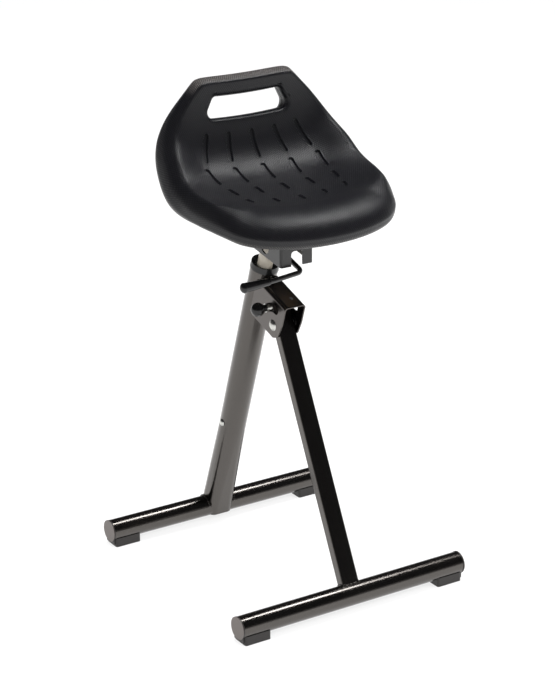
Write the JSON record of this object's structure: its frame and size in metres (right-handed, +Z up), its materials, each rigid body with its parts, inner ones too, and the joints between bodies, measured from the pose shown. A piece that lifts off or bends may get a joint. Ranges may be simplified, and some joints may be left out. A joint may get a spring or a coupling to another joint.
{
  "type": "perch stool",
  "caption": "Folding perch stool: moulded saddle seat with a carrying handle on a gas spring column, with a hinged front strut and two cross feet.",
  "frame": {"origin": "on the floor, in the middle between the two feet", "axes": "+Z up; -Y is the way the user faces, where the hinged strut's foot stands; +X to the right of a person who looks along +Y"},
  "size_m": [0.468, 0.4973, 0.8899],
  "materials": {
    "frame_paint": "glossy anthracite powder coat",
    "bracket_paint": "glossy anthracite powder coat",
    "black_plastic": "fine grained moulding",
    "cap_plastic": "fine grained moulding",
    "knob_plastic": "polished",
    "zinc_steel": "bright zinc plate",
    "spring_steel": "satin",
    "cylinder_paint": "satin silver grey",
    "carrier_paint": "satin black",
    "seat_foam": "integral skin foam, fine knurled grain",
    "plywood": "plain"
  },
  "bodies": {
    "rear_frame": {"column_tube": "frame_paint", "rear_foot_tube": "frame_paint", "rear_left_foot_cap": "cap_plastic", "rear_right_foot_cap": "cap_plastic", "column_bush": "black_plastic", "guide_screw": "zinc_steel", "rod_anchor_block": "spring_steel", "rod_anchor_rivet": "zinc_steel", "piston_rod": "zinc_steel", "piston": "spring_steel", "fold_bracket": "bracket_paint", "pivot_rivet": "zinc_steel", "bracket_rivet": "zinc_steel"},
    "strut_leg": {"folding_strut": "frame_paint", "front_foot_tube": "frame_paint", "front_left_foot_cap": "cap_plastic", "front_right_foot_cap": "cap_plastic", "pivot_sleeve": "spring_steel", "pivot_washers": "black_plastic", "strut_top_plug": "black_plastic", "latch_sleeve": "zinc_steel", "latch_spring": "spring_steel"},
    "latch": {"latch_pin": "zinc_steel", "latch_knob": "knob_plastic", "latch_clip": "spring_steel"},
    "seat": {"gas_cylinder": "cylinder_paint", "cone_socket": "carrier_paint", "seat_carrier": "carrier_paint", "seat_pad": "seat_foam", "seat_insert_plate": "plywood", "seat_screws": "zinc_steel", "lever_pivot_pin": "zinc_steel"},
    "lever": {"release_lever": "carrier_paint", "lever_grip": "black_plastic"},
    "valve": {"valve_pin": "zinc_steel"}
  },
  "joints": [
    {"name": "fold_hinge", "type": "hinge", "parent": "rear_frame", "child": "strut_leg", "pos_m": [0, -0.00602, 0.46602], "axis": [1, 0, 0], "range_deg": [0, 44.8]},
    {"name": "latch_pull", "type": "slide", "parent": "strut_leg", "child": "latch", "axis": [-1, 0, 0], "range_m": [0, 0.008], "stiffness_N_per_m": 600, "deforming": ["latch_spring"]},
    {"name": "seat_height", "type": "slide", "parent": "rear_frame", "child": "seat", "axis": [0, -0.3118, 0.9501], "range_m": [0, 0.2]},
    {"name": "lever_lift", "type": "hinge", "parent": "seat", "child": "lever", "pos_m": [0, -0.009, 0.648], "axis": [-1, 0, 0], "range_deg": [0, 5.5], "stiffness_Nm_per_rad": 0.6},
    {"name": "valve_press", "type": "slide", "parent": "seat", "child": "valve", "axis": [0, 0.3118, -0.9501], "range_m": [0, 0.0035]}
  ],
  "couplings": [
    {"joint": "valve_press", "follows": "lever_lift", "m_per_rad": 0.0335}
  ]
}
